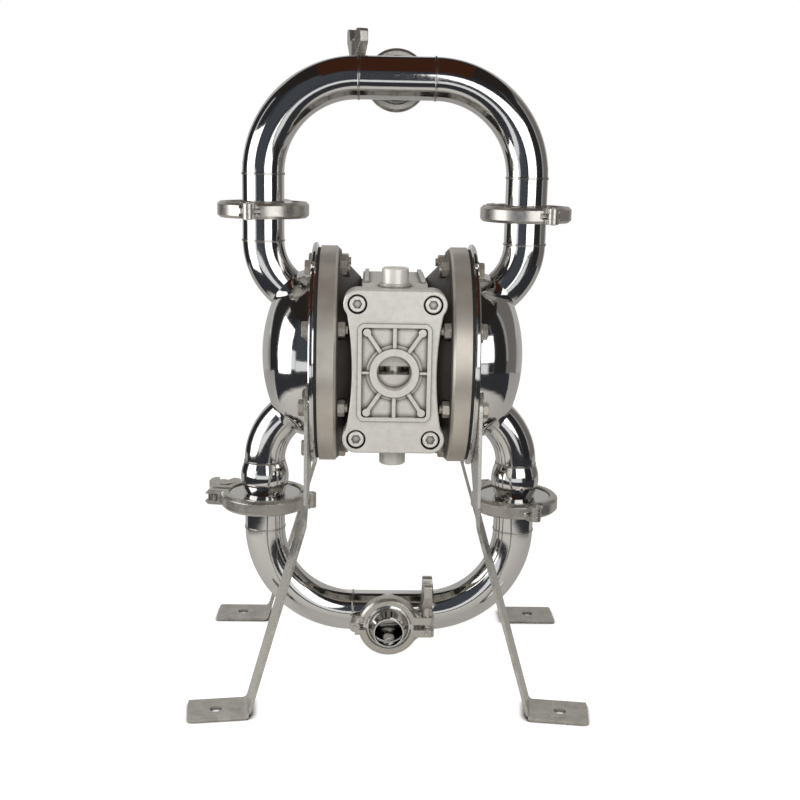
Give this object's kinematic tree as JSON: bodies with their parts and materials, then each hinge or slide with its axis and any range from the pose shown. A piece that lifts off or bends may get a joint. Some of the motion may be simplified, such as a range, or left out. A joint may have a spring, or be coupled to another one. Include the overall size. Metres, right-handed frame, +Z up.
{
  "type": "air operated double diaphragm pump",
  "caption": "Sanitary double diaphragm pump: polished tube manifolds and clamped valve columns round two domed chambers and a cast air motor, on bent strap legs.",
  "frame": {"origin": "on the floor, at the centre of the four foot holes, under the middle of the pump", "axes": "+Z up; the diaphragm shaft lies along X; the inlet and exhaust face -Y (front); the outlet faces +Y (rear)"},
  "size_m": [0.4842, 0.3538, 0.804],
  "materials": {
    "polished_steel": "mirror-polished stainless steel",
    "cast_steel": "polished investment casting",
    "satin_steel": "satin rolled strap",
    "bright_steel": "machined",
    "dark_steel": "dark rolled fastener steel",
    "cast_aluminium": "fine-grained casting",
    "coated_casting": "matte casting",
    "rubber": "matte",
    "white_polymer": "smooth fluoropolymer",
    "seat_polymer": "matte elastomer",
    "bronze": "machined"
  },
  "bodies": {
    "pump": {"air_chamber_left": "coated_casting", "air_chamber_right": "coated_casting", "bottom_manifold": "polished_steel", "center_block": "cast_aluminium", "chamber_bolts_left": "dark_steel", "chamber_bolts_right": "dark_steel", "clamp_inlet_bolt": "bright_steel", "clamp_inlet_jaws": "cast_steel", "clamp_lower_left_bolt": "bright_steel", "clamp_lower_left_jaws": "cast_steel", "clamp_lower_right_bolt": "bright_steel", "clamp_lower_right_jaws": "cast_steel", "clamp_outlet_bolt": "bright_steel", "clamp_outlet_jaws": "cast_steel", "clamp_upper_left_bolt": "bright_steel", "clamp_upper_left_jaws": "cast_steel", "clamp_upper_right_bolt": "bright_steel", "clamp_upper_right_jaws": "cast_steel", "cover_gasket": "seat_polymer", "cover_screws": "bright_steel", "diaphragm_left": "rubber", "diaphragm_right": "rubber", "exhaust_cover": "cast_aluminium", "inlet_gasket": "seat_polymer", "inlet_nozzle": "polished_steel", "leg_front_left": "satin_steel", "leg_front_right": "satin_steel", "leg_rear_left": "satin_steel", "leg_rear_right": "satin_steel", "outer_chamber_left": "polished_steel", "outer_chamber_right": "polished_steel", "outlet_gasket": "seat_polymer", "outlet_nozzle": "polished_steel", "shaft_bushes": "bronze", "top_manifold": "polished_steel", "valve_body": "cast_aluminium", "valve_caps": "bright_steel", "valve_seat_lower_left": "seat_polymer", "valve_seat_lower_right": "seat_polymer", "valve_seat_upper_left": "seat_polymer", "valve_seat_upper_right": "seat_polymer"},
    "shaft": {"diaphragm_shaft": "bright_steel", "inner_plate_left": "satin_steel", "inner_plate_right": "satin_steel", "outer_plate_left": "satin_steel", "outer_plate_right": "satin_steel"},
    "spool": {"valve_spool": "bright_steel"},
    "ball_lower_left": {"ball_lower_left": "white_polymer"},
    "ball_lower_right": {"ball_lower_right": "white_polymer"},
    "ball_upper_left": {"ball_upper_left": "white_polymer"},
    "ball_upper_right": {"ball_upper_right": "white_polymer"},
    "clamp_upper_left_wing_nut": {"clamp_upper_left_wing_nut": "cast_steel"},
    "clamp_upper_right_wing_nut": {"clamp_upper_right_wing_nut": "cast_steel"},
    "clamp_lower_left_wing_nut": {"clamp_lower_left_wing_nut": "cast_steel"},
    "clamp_lower_right_wing_nut": {"clamp_lower_right_wing_nut": "cast_steel"},
    "clamp_inlet_wing_nut": {"clamp_inlet_wing_nut": "cast_steel"},
    "clamp_outlet_wing_nut": {"clamp_outlet_wing_nut": "cast_steel"}
  },
  "joints": [
    {"name": "shaft_stroke", "type": "slide", "parent": "pump", "child": "shaft", "axis": [1, 0, 0], "range_m": [-0.024, 0.024], "deforming": ["diaphragm_left", "diaphragm_right"]},
    {"name": "spool_shift", "type": "slide", "parent": "pump", "child": "spool", "axis": [0, 0, 1], "range_m": [0, 0.0194]},
    {"name": "ball_lower_left_lift", "type": "slide", "parent": "pump", "child": "ball_lower_left", "axis": [0, 0, 1], "range_m": [0, 0.009]},
    {"name": "ball_lower_right_lift", "type": "slide", "parent": "pump", "child": "ball_lower_right", "axis": [0, 0, 1], "range_m": [0, 0.009]},
    {"name": "ball_upper_left_lift", "type": "slide", "parent": "pump", "child": "ball_upper_left", "axis": [0, 0, 1], "range_m": [0, 0.009]},
    {"name": "ball_upper_right_lift", "type": "slide", "parent": "pump", "child": "ball_upper_right", "axis": [0, 0, 1], "range_m": [0, 0.009]},
    {"name": "clamp_upper_left_wing_nut_turn", "type": "hinge", "parent": "pump", "child": "clamp_upper_left_wing_nut", "pos_m": [-0.15899, 0.06726, 0.587], "axis": [-0.9781, 0.2079, 0], "continuous": true},
    {"name": "clamp_upper_right_wing_nut_turn", "type": "hinge", "parent": "pump", "child": "clamp_upper_right_wing_nut", "pos_m": [0.14389, 0.06531, 0.587], "axis": [0.9063, 0.4226, 0], "continuous": true},
    {"name": "clamp_lower_left_wing_nut_turn", "type": "hinge", "parent": "pump", "child": "clamp_lower_left_wing_nut", "pos_m": [-0.22355, 0.02206, 0.222], "axis": [0.1392, 0.9903, 0], "continuous": true},
    {"name": "clamp_lower_right_wing_nut_turn", "type": "hinge", "parent": "pump", "child": "clamp_lower_right_wing_nut", "pos_m": [0.14964, 0.06647, 0.222], "axis": [0.9397, 0.342, 0], "continuous": true},
    {"name": "clamp_inlet_wing_nut_turn", "type": "hinge", "parent": "pump", "child": "clamp_inlet_wing_nut", "pos_m": [0.0485, -0.0495, 0.083], "axis": [0, 0, 1], "continuous": true},
    {"name": "clamp_outlet_wing_nut_turn", "type": "hinge", "parent": "pump", "child": "clamp_outlet_wing_nut", "pos_m": [-0.0485, 0.0495, 0.757], "axis": [0, 0, 1], "continuous": true}
  ]
}
